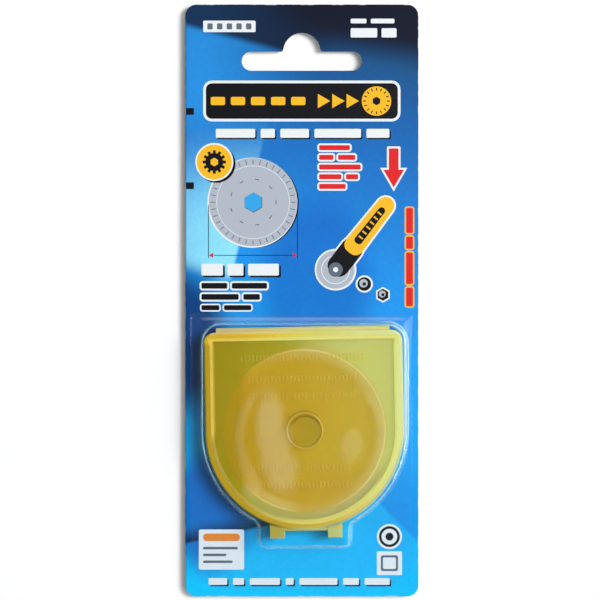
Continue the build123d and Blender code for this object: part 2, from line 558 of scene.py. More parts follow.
@dataclass(frozen=True)
class ClearSheet:
    """Thin clear sheet that lets lamps through, with painted reflections as pale dull patches on
    its top and painted highlights along its bends, most on the right.
    """

    name: str = "clear_sheet"
    tint: Colour = srgb(250, 253, 255)
    # Colours of the painted reflections on the top, of the milky walls that carry a painted
    # highlight, and of the white painted highlight lines.
    reflection_colour: Colour = srgb(255, 246, 190)
    milk_and_sheen: Colour = srgb(150, 222, 255)
    highlight_white: Colour = srgb(236, 250, 255)
    # How much painted reflection the top carries, and how milky the walls are, more on the right as
    # painted highlight.
    sheen_share: float = 0.2
    left_wall_sheen: float = 0.2
    right_wall_sheen: float = 0.24
    wall_foot_sheen: float = 0.05
    # Shares of the painted highlights on the right shoulder, along the right wall and on the
    # flange's step.
    shoulder_sheen: float = 0.3
    wall_glint_share: float = 0.6
    fold_sheen: float = 0.07
    wall_glint_white: float = 1.6
    brim_white: float = 3.0
    quiet_low_left: float = 0.7
    quiet_pocket: float = 0.45
    quiet_step: float = 0.85
    # Soft patches of painted reflection on the dome's top.
    sheen_patches: tuple[Patch, ...] = (
        Patch((-8.8, -34.5), (1.0, 0.45), 5.4, 0.96, 0.35),
        Patch((-5.8, -46.6), (1.0, 0.66), 6.0, 0.9, 0.35),
        Patch((-7.4, -41.2), (1.0, 0.5), 5.8, 0.92, 0.35),
        Patch((13.8, -40.0), (1.0, 0.6), 4.2, 0.56, 0.35),
        Patch((-13.4, -52.0), (1.0, 1.0), 4.0, 0.6, 0.35),
        Patch((8.0, -12.8), (0.36, 1.5), 4.2, 0.45, 0.35),
    )
    ragged: float = 1.6
    wear_and_sheen_waves: Spot = (160, 3.0)
    ripple_waves: Spot = (70, 1.0)
    ripple_relief: Spot = (0.3 * MM, 0.3)
    # A ring of painted reflection on the dome's top, in its lower part.
    halo_middle: Spot = (2.6, -38.2)
    halo_radius: float = 19.6
    halo_width: float = 2.2
    halo_share: float = 0.42

    def make(self) -> bpy.types.Material:
        """Build the material.

        Returns:
            The material.
        """
        r = Recipe.of_material(self.name)
        x, y, z = r.axes()
        steep = r.size(r.upward())
        wall = r.ease(steep, 0.93, 0.7)
        right = r.times(r.ease(x, 18.0, 26.0), r.ease(y, -48.0, -36.0))
        # Painted highlight on the dome's shoulder and brim at the right.
        shoulder = r.times(
            r.ease(steep, 0.998, 0.93), r.ease(z, 5.0, 5.6), right, self.shoulder_sheen,
        )
        brim = r.times(
            r.band(x, (28.0, 28.2), (28.4, 28.6)), r.ease(z, 5.6, 6.0), right, self.shoulder_sheen,
        )
        # Painted highlight along the middle of the right wall.
        wall_glint = r.times(r.band(z, (1.8, 2.7), (3.3, 4.2)), right, self.wall_glint_share)
        # Painted highlight in a pale line along the flange's step above the case.
        above = r.times(r.band(x, (-29.0, -26.0), (27.0, 30.0)), r.ease(z, 3.0, 2.0))
        fold = r.times(r.band(y, (-4.5, -4.95), (-5.35, -5.7)), above)
        # Milky walls, more on the right as painted highlight and less at their foot.
        sheen_share = r.times(
            r.between(right, self.left_wall_sheen, self.right_wall_sheen),
            r.between(r.ease(z, 3.0, 4.6), self.wall_foot_sheen, 1.0),
        )
        # White in the painted highlight lines, a pale reflection colour on the flat parts, milky on
        # the walls.
        white = r.most(r.times(wall_glint, self.wall_glint_white), r.times(brim, self.brim_white), fold)
        body = r.blend(white, r.blend(wall, self.reflection_colour, self.milk_and_sheen), self.highlight_white)
        dull = r.surface(Base_Color=body, Roughness=0.6)
        edges = r.most(r.times(wall, r.most(sheen_share, wall_glint)), shoulder, brim)
        share = r.plus(self.wear_and_sheen(r, x, y, z), edges, r.times(fold, self.fold_sheen))
        sheet = self.sheet(r, x, y, z, steep)
        return r.finish(r.node("MixShader", {0: share, 1: sheet, 2: dull}).outputs[0])

    def sheet(self, r: Recipe, x: Socket, y: Socket, z: Socket, steep: Socket) -> Socket:
        """Clear glossy sheet, which bends no light for shadows and less at its quiet bends.

        Args:
            r: The recipe.
            x: The point's x.
            y: The point's y.
            z: The point's z.
            steep: How level the sheet lies, 0 upright and 1 flat.

        Returns:
            The shader.
        """
        glass = r.surface(
            Base_Color=self.tint, Transmission_Weight=1.0, Roughness=0.02, IOR=1.5,
            Normal=r.bump(r.noise(*self.ripple_waves), *self.ripple_relief),
        )
        clear = r.node("BsdfTransparent", {"Color": self.tint}).outputs[0]
        ray = r.node("LightPath").outputs
        low_left = r.times(r.ease(y, -47.0, -53.0), r.ease(x, 8.0, -4.0), self.quiet_low_left)
        pocket = r.times(r.ease(y, -57.0, -61.0), self.quiet_pocket)
        step = r.times(r.ease(x, 29.0, 29.6), r.ease(z, 2.4, 1.6), self.quiet_step)
        quiet = r.times(r.ease(steep, 0.999, 0.98), r.most(low_left, pocket, step))
        unbent = r.most(ray["Is Shadow Ray"], ray["Is Diffuse Ray"], quiet)
        return r.node("MixShader", {0: unbent, 1: glass, 2: clear}).outputs[0]

    def wear_and_sheen(self, r: Recipe, x: Socket, y: Socket, z: Socket) -> Number:
        """How much painted reflection the flat top of the dome carries, in soft patches and in a
        ring.

        Args:
            r: The recipe.
            x: The point's x.
            y: The point's y.
            z: The point's z.

        Returns:
            The share of dull surface that paints the reflections.
        """
        cloud = r.between(r.noise(*self.wear_and_sheen_waves), -self.ragged, self.ragged)
        off = r.size(r.less(r.away(x, y, self.halo_middle), self.halo_radius))
        amount = r.times(
            r.ease(r.plus(off, cloud), self.halo_width, 0.0), r.ease(y, -20.0, -30.0),
            self.halo_share,
        )
        for patch in self.sheen_patches:
            amount = r.most(amount, patch.amount(r, x, y, cloud))
        return r.times(amount, r.ease(z, 6.0, 6.2), self.sheen_share)


class CasePoint:
    """A point of the case, by its distances in millimetres and by shares from 0 to 1.

    Attributes:
        x: Its place to the right.
        y: Its place towards the hang hole.
        radius: Distance from the hub.
        below: How far it lies below the hub, and 0 above it.
        inward: Distance in from the case's outer edge.
        along_top: Share of being on the straight side with the hinge.
        straight: Share of being beside or above the hub, where the outline is straight.
        sunk: Inward, for a rim that is lower at the left end of the hinge side.
        sloping: Share of being on the slope inside the rim.
        brink: Share of being on the painted bright streak along the rim of the hinge side.
        on_hinge: Share of being on the hinge.
        raised: Share of being higher than the panel.
        flat: What raised leaves.
        over_blade: Share of being over the blade.
        lit: How far it lies towards the lamp.
        painted_light: Share of the paler tone painted on the panel as light towards the lamp.
        dull: Share of the darker tone painted at the far left as shade.
        bevel: Share of the painted highlight over the blade's bevel, on the right and by the foot.
        edge: Share of the painted glint over the blade's edge, on the same sides.
        shine: Share of the slope's painted shine on the panel beside it.
    """

    def __init__(self, r: Recipe, rim_width: float, lip: float) -> None:
        """Work out where the point lies.

        Args:
            r: The recipe.
            rim_width: Width of the lid's raised rim.
            lip: Width of the rim with the slope inside it.
        """
        x, y, z = r.axes()
        self.x, self.y = x, y
        self.radius = r.away(x, y, HUB)
        self.below = below = r.most(r.less(HUB[1], y), 0.0)
        self.inward = inward = self.from_edge(r, x, y)
        self.along_top = r.ease(y, -13.0, -11.0)
        self.straight = r.ease(below, 4.0, 0.0)
        drop = r.times(r.ease(x, 22.0, -18.0), r.ease(x, -26.2, -25.2), self.along_top, RIM_DROP)
        self.sunk = sunk = r.less(inward, drop)
        self.sloping = r.band(sunk, (rim_width - 0.25, rim_width + 0.05), (lip - 0.1, lip))
        self.brink = r.band(sunk, (1.1, 1.4), (1.95, 2.2))
        self.on_hinge = r.times(r.ease(sunk, 0.1, -0.05), r.ease(y, -20.0, -16.0))
        self.raised = r.ease(z, PANEL_FACE + 0.03, PANEL_FACE + 0.12)
        self.flat = r.rest(self.raised)
        self.over_blade = r.ease(self.radius, BLADE_RADIUS + 0.7, BLADE_RADIUS - 0.5)
        self.lit = r.plus(r.times(x, 0.8), r.times(below, 0.35))
        # Painted light: the paler tone grows towards the lamp and at the low left.
        low_left = r.times(r.ease(x, 2.0, -9.0), r.ease(below, 8.0, 19.0))
        self.painted_light = r.ease(r.plus(self.lit, r.times(low_left, 9.0)), -10.0, 16.0)
        # Painted shade at the far left.
        self.dull = r.ease(x, -13.0, -18.0)
        # The painted highlights over the blade's bevel and edge lie on the right and by the foot.
        foot_side = r.times(
            r.ease(below, 12.0, 19.0), r.ease(x, -18.0, -10.0), r.ease(x, 1.0, -6.0),
        )
        turned = r.most(r.ease(r.plus(x, r.times(y, 0.5)), -30.0, 2.0), r.times(foot_side, 0.8))
        self.bevel = r.times(r.ease(self.radius, 18.6, 22.0), self.over_blade, turned)
        off = r.size(r.less(self.radius, BLADE_RADIUS - 0.2))
        self.edge = r.times(r.ease(off, 0.4, 0.1), turned)
        # The slope's painted shine on the panel beside it.
        self.shine = r.times(
            r.ease(inward, lip + 0.5, lip + 0.15), r.most(self.straight, r.ease(x, -14.0, 2.0)),
            r.rest(self.along_top), r.ease(x, 25.0, 18.0),
        )

    def from_edge(self, r: Recipe, x: Socket, y: Socket) -> Socket:
        """How far a point lies in from the case's outer edge.

        Args:
            r: The recipe.
            x: The point's x.
            y: The point's y.

        Returns:
            The distance in millimetres.
        """
        turn = math.radians(CASE_TURN)
        across, along = r.less(x, HUB[0]), r.less(y, HUB[1])
        side = r.plus(r.times(across, math.cos(turn)), r.times(along, math.sin(turn)))
        up = r.less(r.times(along, math.cos(turn)), r.times(across, math.sin(turn)))
        round_end = r.length(side, r.calc("MINIMUM", up, 0.0))
        return r.less(CASE_HALF, r.most(round_end, up))


@dataclass(frozen=True)
class CasePlastic:
    """Translucent yellow moulding, dense over its walls and thin in its panels.

    Many of its colours are painted light and shade: amber, gold, moss, mustard and khaki are
    painted shade at the left, pale, cool and the paler panel tone are painted light towards the
    lamp at the right, and the glint, the bevel, the streak and the slope's line are painted
    highlights.
    """

    name: str = "case_plastic"
    golden: Colour = srgb(254, 208, 40)
    olive: Colour = srgb(232, 220, 40)
    # Painted light: the paler panel tone towards the lamp, and a less pale one lower down.
    painted_light: Colour = srgb(248, 254, 158)
    lower_light: Colour = srgb(214, 210, 140)
    # Painted shade on the panel at the far left, beside and over the blade.
    mustard: Colour = srgb(216, 182, 8)
    khaki: Colour = srgb(212, 194, 14)
    # Painted shade on the rim: amber away from the lamp and beside the hub's ring, gold at the left
    # of the hinge side, moss on the outer edge. Cool is painted light on the outer edge at the low
    # right.
    amber: Colour = srgb(204, 166, 20)
    gold: Colour = srgb(233, 190, 44)
    moss: Colour = srgb(136, 132, 48)
    cool: Colour = srgb(146, 188, 168)
    rim: Colour = srgb(255, 226, 88)
    # Painted shade on the slope at the low left; the slope's side darker at the left and its line
    # painted bright at the right.
    groove: Colour = srgb(170, 142, 12)
    slope: Colour = srgb(238, 224, 124)
    side: Colour = srgb(212, 180, 54)
    line: Colour = srgb(255, 250, 140)
    # Painted highlights over the blade's edge and bevel, seen through the lid.
    glint: Colour = srgb(255, 228, 150)
    bevel: Colour = srgb(255, 230, 152)
    # Painted light on the rim towards the right.
    pale: Colour = srgb(255, 251, 182)
    # Hinge, latch feet, streak along the rim and ledge, each painted darker at the left as shade;
    # the streak is a painted highlight.
    hinge: Colour = srgb(252, 226, 142)
    hinge_end: Colour = srgb(232, 198, 132)
    foot: Colour = srgb(212, 215, 139)
    foot_end: Colour = srgb(198, 181, 78)
    streak: Colour = srgb(252, 214, 82)
    streak_end: Colour = srgb(255, 240, 140)
    ledge: Colour = srgb(190, 172, 24)
    tint: Colour = srgb(252, 243, 170)
    panel_share: float = 0.32
    rim_share: float = 0.88
    wall_share: float = 0.5
    rim_width: float = 1.75
    slope_width: float = 0.9
    grain: float = 0.05
    # Shares of the painted light, shade and highlights, and how much more the moulding stops where
    # they lie.
    pale_share: float = 0.85
    cool_share: float = 0.7
    bevel_share: float = 0.7
    painted_edge_share: float = 0.8
    painted_light_share: Spot = (0.85, 0.2)
    painted_light_extra: Spot = (0.26, 0.08)
    bevel_extra: float = 0.12
    edge_extra: float = 0.2
    dull_extra: float = 0.1
    shine_extra: float = 0.4
    slope_extra: float = 0.1
    levelling: float = 0.8

    def make(self) -> bpy.types.Material:
        """Build the material.

        Returns:
            The material.
        """
        r = Recipe.of_material(self.name)
        at = CasePoint(r, self.rim_width, self.rim_width + self.slope_width)
        cloud = r.noise(*MOULD_WAVES)
        slope = self.slope_colour(r, at)
        lid = r.blend(at.raised, self.panel_colour(r, at, slope), self.top_colour(r, at, slope))
        # The hinge, painted darker at the left as shade.
        cream = r.blend(r.ease(at.x, -24.0, 4.0), self.hinge_end, self.hinge)
        body = r.blend(at.on_hinge, lid, cream)
        solid = r.surface(
            Base_Color=r.vary(body, cloud, self.grain), Roughness=0.4, Specular_IOR_Level=0.1,
            Subsurface_Weight=0.85, Subsurface_Radius=(1.0, 0.95, 0.6), Subsurface_Scale=1.4 * MM,
            Normal=self.softened(r, at, cloud),
        )
        return r.finish(r.see_through(self.tint, self.opacity(r, at), solid))

    def slope_colour(self, r: Recipe, at: CasePoint) -> Socket:
        """The slope inside the rim, with painted shade at the low left and a painted bright line at
        the sides.

        Args:
            r: The recipe.
            at: The point.

        Returns:
            The colour.
        """
        # Painted shade at the low left, away from the lamp.
        low = r.blend(r.ease(at.lit, -12.0, 16.0), self.groove, self.slope)
        # A painted bright line along the sides, darker at the left.
        side = r.blend(r.ease(at.x, -26.0, 0.0), self.side, self.line)
        return r.blend(r.most(at.straight, r.ease(at.x, 12.0, 26.0)), low, side)

    def top_colour(self, r: Recipe, at: CasePoint, slope: Socket) -> Socket:
        """The raised rim with its slope, painted shade at the left and on its outer edge, painted
        light at the right, a painted bright streak on the hinge side, and the latch's feet, darker
        at the left.

        Args:
            r: The recipe.
            at: The point.
            slope: Colour of the slope.

        Returns:
            The colour.
        """
        # Painted shade away from the lamp in amber, and gold at the left of the hinge side.
        top = r.blend(r.ease(at.lit, 36.0, -8.0), self.rim, self.amber)
        upper = r.blend(r.ease(at.x, -22.0, 6.0), self.gold, self.rim)
        top = r.blend(at.along_top, top, upper)
        # Painted light towards the right.
        right = r.ease(r.plus(at.x, r.times(at.below, -0.45)), -8.0, 30.0)
        top = r.blend(r.times(right, self.pale_share), top, self.pale)
        # Painted shade on the outer edge, away from the lamp.
        outer = r.times(r.ease(at.inward, 0.65, 0.25), r.ease(at.inward, -0.3, -0.15))
        shade = r.times(outer, r.rest(at.along_top), r.ease(at.lit, 22.0, 0.0))
        top = r.blend(shade, top, self.moss)
        # Cool painted light on the outer edge at the low right.
        outer = r.times(r.ease(at.inward, 1.1, 0.3), r.ease(at.inward, -0.3, -0.15))
        low_right = r.times(r.ease(at.lit, 8.0, 17.0), r.ease(at.below, 0.0, 9.0))
        top = r.blend(r.times(outer, low_right, self.cool_share), top, self.cool)
        # Ledge and bright streak on the hinge side, darker at the left as painted shade; the streak
        # is a painted highlight.
        ledge = r.blend(r.ease(at.x, -20.0, 4.0), self.ledge, self.slope)
        streak = r.blend(r.ease(at.x, -24.0, 8.0), self.streak, self.streak_end)
        upper = r.blend(at.brink, r.blend(at.sloping, top, ledge), streak)
        top = r.blend(at.along_top, r.blend(at.sloping, top, slope), upper)
        # The latch's feet, darker at the left as painted shade.
        foot = r.blend(r.ease(at.x, -9.0, 9.0), self.foot_end, self.foot)
        on_foot = r.times(r.ease(at.below, 24.6, 26.4), r.ease(at.y, -62.2, -63.2))
        return r.blend(on_foot, top, foot)

    def panel_colour(self, r: Recipe, at: CasePoint, slope: Socket) -> Socket:
        """The thin panel, golden over the blade and olive beside it, with painted light towards the
        lamp, painted highlights over the blade's bevel and edge, and painted shade at the far left
        and by the ring.

        Args:
            r: The recipe.
            at: The point.
            slope: Colour of the slope, which also paints the shine along the panel's edge.

        Returns:
            The colour.
        """
        panel = r.blend(at.over_blade, self.olive, self.golden)
        # Painted light towards the lamp, less pale lower down.
        light_tone = r.blend(r.ease(at.below, 7.0, 15.0), self.painted_light, self.lower_light)
        light_tone_share = r.times(at.painted_light, r.between(at.over_blade, *self.painted_light_share))
        panel = r.blend(light_tone_share, panel, light_tone)
        # Painted highlights over the blade's bevel and edge.
        panel = r.blend(r.times(at.bevel, self.bevel_share), panel, self.bevel)
        panel = r.blend(r.times(at.edge, self.painted_edge_share), panel, self.glint)
        # Painted shade beside the hub's ring.
        panel = r.blend(r.times(self.ring_shade(r, at), at.over_blade), panel, self.amber)
        # Painted shade at the far left.
        panel = r.blend(at.dull, panel, r.blend(at.over_blade, self.khaki, self.mustard))
        # The slope's painted shine along the panel's edge.
        return r.blend(at.shine, panel, slope)

    def ring_shade(self, r: Recipe, at: CasePoint) -> Number:
        """Painted shade: dark lines just inside and just outside the raised ring over the hub.

        Args:
            r: The recipe.
            at: The point.

        Returns:
            How dark they are, from 0 to 1.
        """
        across, along = r.less(at.x, HUB[0]), r.less(at.y, HUB[1])
        inner = r.times(
            r.most(r.ease(across, -1.0, 3.0), r.ease(along, 0.0, 3.0)),
            r.between(r.ease(r.size(along), 0.5, 2.5), 0.3, 1.0),
        )
        outer = r.times(r.ease(along, 3.0, 5.0), 0.7)
        total = 0.0
        for shift, radius, share in (((0.35, -0.25), 4.3, inner), ((0.0, 0.0), 5.35, outer)):
            middle = (HUB[0] + shift[0], HUB[1] + shift[1])
            off = r.size(r.less(r.away(at.x, at.y, middle), radius))
            total = r.plus(total, r.times(r.ease(off, 0.45, 0.05), share))
        return total

    def opacity(self, r: Recipe, at: CasePoint) -> Number:
        """How much of the light the moulding stops.

        Args:
            r: The recipe.
            at: The point.

        Returns:
            The share, low in the panels and high over the rim, the hinge and the walls, and raised
            where light, shade and highlights are painted.
        """
        upright = r.ease(r.size(r.upward()), 0.6, 0.25)
        blade_edge = r.plus(r.times(at.bevel, self.bevel_extra), r.times(at.edge, self.edge_extra))
        film = r.most(r.times(at.dull, self.dull_extra), r.times(at.shine, self.shine_extra))
        return r.plus(
            self.panel_share,
            r.times(at.painted_light, r.between(at.over_blade, *self.painted_light_extra), at.flat),
            r.times(blade_edge, at.flat),
            r.times(film, at.flat),
            r.times(r.most(at.raised, at.on_hinge), self.rim_share - self.panel_share),
            r.times(upright, self.wall_share - self.panel_share),
            r.times(at.raised, r.most(at.sloping, r.ease(at.lit, 8.0, -8.0)), self.slope_extra),
        )

    def softened(self, r: Recipe, at: CasePoint, cloud: Socket) -> Socket:
        """Faint unevenness, and a slope turned from the lamp that is as bright as the rim.

        Light spreads inside a translucent wall, so its far slope isn't dark. The normal is bent
        towards +Z there.

        Args:
            r: The recipe.
            at: The point.
            cloud: Height of the unevenness.

        Returns:
            The normal.
        """
        level = r.times(
            r.ease(at.inward, self.rim_width - 0.3, self.rim_width), at.raised,
            r.most(at.along_top, r.ease(at.x, 4.0, 20.0)), self.levelling,
        )
        fine = r.bump(cloud, *MOULD_RELIEF)
        soft = r.node("Mix", {0: level, 4: fine, 5: (0.0, 0.0, 1.0)}, data_type="VECTOR").outputs[1]
        return r.node("VectorMath", {0: soft}, operation="NORMALIZE").outputs[0]


@dataclass(frozen=True)
class ReliefPlastic:
    """The same moulding where it stands a little higher, a shade lighter than the panel."""

    name: str
    body: Colour
    share: float
    tint: Colour = srgb(255, 250, 222)
    grain: float = 0.05

    def make(self) -> bpy.types.Material:
        """Build the material.

        Returns:
            The material.
        """
        r = Recipe.of_material(self.name)
        cloud = r.noise(*MOULD_WAVES)
        solid = r.surface(
            Base_Color=r.vary(self.body, cloud, self.grain), Roughness=0.35,
            Normal=r.bump(cloud, *MOULD_RELIEF),
        )
        return r.finish(r.see_through(self.tint, self.share, solid))


@dataclass(frozen=True)
class BladeSteel:
    """Tool steel, ground round its centre, with a brighter ground bevel and a painted highlight
    along its very edge.
    """

    name: str = "blade_steel"
    flat: Colour = srgb(196, 194, 188)
    ground: Colour = srgb(226, 224, 216)
    edge: Colour = srgb(255, 253, 248)
    bevel_width: float = 1.85
    ring_scale: float = 9.0
    ring_relief: Spot = (0.01 * MM, 0.3)
    grain: float = 0.07

    def make(self) -> bpy.types.Material:
        """Build the material.

        Returns:
            The material.
        """
        r = Recipe.of_material(self.name)
        x, y, _ = r.axes()
        radius = r.away(x, y, HUB)
        rings = r.node(
            "TexNoise", {"Scale": self.ring_scale, "Detail": 2.0, "W": radius},
            noise_dimensions="1D",
        ).outputs[0]
        bevel = r.ease(radius, BLADE_RADIUS - 2 * self.bevel_width, BLADE_RADIUS - 0.3)
        # A near-white line at the very edge: painted highlight.
        rim = r.ease(radius, BLADE_RADIUS - 0.4, BLADE_RADIUS - 0.3)
        colour = r.blend(rim, r.blend(bevel, self.flat, self.ground), self.edge)
        return r.finish(r.surface(
            Base_Color=r.vary(colour, rings, self.grain), Metallic=0.5, Roughness=0.4,
            Normal=r.bump(rings, *self.ring_relief),
        ))


@dataclass(frozen=True)
class TableTop:
    """Matt pale table top."""

    name: str = "table_top"
    lit: Colour = srgb(255, 255, 255)
    dim: Colour = srgb(249, 250, 252)
    lift: float = 0.04
    cloud_waves: Spot = (14, 2.0)

    def make(self) -> bpy.types.Material:
        """Build the material, a little lighter to the camera and in reflections than it is.

        Returns:
            The material.
        """
        r = Recipe.of_material(self.name)
        shade = r.blend(r.noise(*self.cloud_waves), self.dim, self.lit)
        matt = r.surface(Base_Color=shade, Roughness=0.8, Specular_IOR_Level=0.2)
        ray = r.node("LightPath").outputs
        seen = r.most(ray["Is Glossy Ray"], ray["Is Transmission Ray"], ray["Is Camera Ray"])
        light = r.node("Emission", {"Strength": r.times(seen, self.lift)}).outputs[0]
        return r.finish(r.node("AddShader", {0: matt, 1: light}).outputs[0])


class Press:
    """Prints flat shapes on the card, with one thin sheet of ink for each colour.

    Places and sizes are in millimetres, and a shape at a higher level lies over a lower one.
    """

    def __init__(self, film: float = 0.012, sunk: float = 0.01) -> None:
        """Start with no ink.

        Args:
            film: Thickness of one level.
            sunk: How far the ink soaks into the board.
        """
        self.film = film
        self.sunk = sunk
        self.sheets: dict[Ink, bmesh.types.BMesh] = {}

    def stamp(
        self, ink: Ink, shape: bmesh.types.BMesh, at: Spot, level: int, turn: float = 0.0
    ) -> None:
        """Give a flat shape its place and thickness and add it to its sheet.

        Args:
            ink: The ink.
            shape: A flat outline about the origin. It is freed.
            at: Where its middle goes.
            level: How many films of ink lie up to its face.
            turn: How far it is turned, in degrees.
        """
        bmesh.ops.rotate(shape, cent=(0, 0, 0), matrix=Matrix.Rotation(math.radians(turn), 3, "Z"),
                         verts=shape.verts)
        bmesh.ops.translate(shape, vec=(*at, CARD_FACE - self.sunk), verts=shape.verts)
        lifted = bmesh.ops.extrude_face_region(shape, geom=shape.faces[:])["geom"]
        tops = [v for v in lifted if isinstance(v, bmesh.types.BMVert)]
        bmesh.ops.translate(shape, vec=(0, 0, self.sunk + level * self.film), verts=tops)
        bmesh.ops.scale(shape, vec=(MM, MM, MM), verts=shape.verts)
        bmesh.ops.recalc_face_normals(shape, faces=shape.faces)
        mesh = bpy.data.meshes.new("shape")
        shape.to_mesh(mesh)
        shape.free()
        self.sheets.setdefault(ink, bmesh.new()).from_mesh(mesh)
        bpy.data.meshes.remove(mesh)

    def bar(
        self, ink: Ink, at: Spot, size: Spot, level: int,
        corner: float = 0.3, turn: float = 0.0, taper: float = 1.0,
    ) -> None:
        """Print a bar with round corners.

        Args:
            ink: The ink.
            at: Its middle.
            size: Its length and width.
            level: Its level.
            corner: Radius of its corners.
            turn: How far it is turned, in degrees.
            taper: Width of its far end as a share of the near one.
        """
        shape = bmesh.new()
        bmesh.ops.create_grid(shape, x_segments=1, y_segments=1, size=0.5)
        bmesh.ops.scale(shape, vec=(*size, 1), verts=shape.verts)
        far = [v for v in shape.verts if v.co.x > 0]
        bmesh.ops.scale(shape, vec=(1, taper, 1), verts=far)
        bmesh.ops.bevel(shape, geom=shape.verts[:], offset=corner, segments=4, profile=0.5,
                        affect="VERTICES", material=-1, clamp_overlap=True)
        self.stamp(ink, shape, at, level, turn)

    def disc(
        self, ink: Ink, at: Spot, radius: float, level: int, sides: int = 64, turn: float = 0.0
    ) -> None:
        """Print a disc, or a shape of few equal sides.

        Args:
            ink: The ink.
            at: Its middle.
            radius: Its radius, to the corners.
            level: Its level.
            sides: How many sides it has.
            turn: How far it is turned, in degrees.
        """
        shape = bmesh.new()
        bmesh.ops.create_circle(shape, cap_ends=True, segments=sides, radius=radius)
        self.stamp(ink, shape, at, level, turn)

    def ring(self, ink: Ink, at: Spot, radius: float, width: float, level: int) -> None:
        """Print a ring.

        Args:
            ink: The ink.
            at: Its middle.
            radius: Its outer radius.
            width: Its width.
            level: Its level.
        """
        shape = bmesh.new()
        bmesh.ops.create_circle(shape, cap_ends=True, segments=64, radius=radius)
        inner = shape.faces[:]
        bmesh.ops.inset_region(shape, faces=inner, thickness=width, use_boundary=True,
                               use_even_offset=True)
        bmesh.ops.delete(shape, geom=inner, context="FACES_ONLY")
        self.stamp(ink, shape, at, level)

    def spokes(
        self, ink: Ink, at: Spot, radius: float, size: Spot, count: int, level: int,
        across: bool = False,
    ) -> None:
        """Print short bars round a circle.

        Args:
            ink: The ink.
            at: Middle of the circle.
            radius: Its radius.
            size: Length and width of a bar.
            count: How many bars there are.
            level: Their level.
            across: Whether they lie across the circle's spokes, and not along them.
        """
        for number in range(count):
            angle = 360 * number / count
            spot = Vector((radius, 0)).to_3d()
            spot.rotate(Matrix.Rotation(math.radians(angle), 3, "Z"))
            place = (at[0] + spot.x, at[1] + spot.y)
            self.bar(ink, place, size, level, 0.05, angle + 90 * across)

    def pull(self) -> list[bpy.types.Object]:
        """Turn the sheets into pieces of the pack.

        Returns:
            The pieces.
        """
        return [
            as_piece(sheet, ink.value[0], PrintInk(ink).make())
            for ink, sheet in self.sheets.items()
        ]


@dataclass(frozen=True)
class Row:
    """A row of plain bars with round corners, over an outline or a shadow."""

    ink: Ink
    start: Spot
    height: float
    lengths: tuple[float, ...]
    gap: float = 1.3
    turn: float = 0.0
    level: int = 2
    corner: float = 0.35
    outline: tuple[Ink, float] | None = None
    shadow: tuple[Ink, Spot] | None = None

    def draw(self, press: Press) -> None:
        """Print the bars one after another from the start, with what lies under them.

        Args:
            press: The press.
        """
        way = Vector((math.cos(math.radians(self.turn)), math.sin(math.radians(self.turn))))
        reach = 0.0
        for length in self.lengths:
            middle = Vector(self.start) + way * (reach + length / 2)
            reach += length + self.gap
            size = (length, self.height)
            under = self.level - 1
            if self.shadow:
                ink, shift = self.shadow
                press.bar(ink, tuple(middle + Vector(shift)), size, under, self.corner, self.turn)
            if self.outline:
                ink, margin = self.outline
                wide = (length + 2 * margin, self.height + 2 * margin)
                press.bar(ink, tuple(middle), wide, under, self.corner + margin, self.turn)
            press.bar(self.ink, tuple(middle), size, self.level, self.corner, self.turn)


@dataclass
class HeaderBand:
    """Black band with a yellow cut line, arrows and a round blade at its end."""

    middle: Spot = (0.0, 55.6)
    size: Spot = (55.0, 11.4)
    border: float = 0.75
    corner: float = 2.4
    dash: Spot = (4.0, 2.3)
    first_dash: float = -23.4
    dash_pitch: float = 5.6
    dash_count: int = 5
    arrows: tuple[float, ...] = (5.6, 9.6, 13.6)
    arrow_radius: float = 2.3
    wheel: float = 20.8
    wheel_radius: float = 4.1
    wheel_hole: float = 1.2
    spoke: Spot = (0.8, 0.3)
    spoke_count: int = 16

    def draw(self, press: Press) -> None:
        """Print the band.

        Args:
            press: The press.
        """
        press.bar(Ink.WHITE, self.middle, self.size, 1, self.corner)
        inner = (self.size[0] - 2 * self.border, self.size[1] - 2 * self.border)
        press.bar(Ink.BLACK, self.middle, inner, 2, self.corner - self.border)
        height = self.middle[1]
        for number in range(self.dash_count):
            place = self.first_dash + number * self.dash_pitch
            press.bar(Ink.YELLOW, (place, height), self.dash, 3, 0.5)
        for place in self.arrows:
            press.disc(Ink.YELLOW, (place, height), self.arrow_radius, 3, 3, -90)
        hub = (self.wheel, height)
        press.disc(Ink.YELLOW, hub, self.wheel_radius, 3)
        reach = self.wheel_radius - 0.8
        press.spokes(Ink.BLACK, hub, reach, self.spoke, self.spoke_count, 4)
        press.disc(Ink.BLACK, hub, self.wheel_hole, 4, 6)


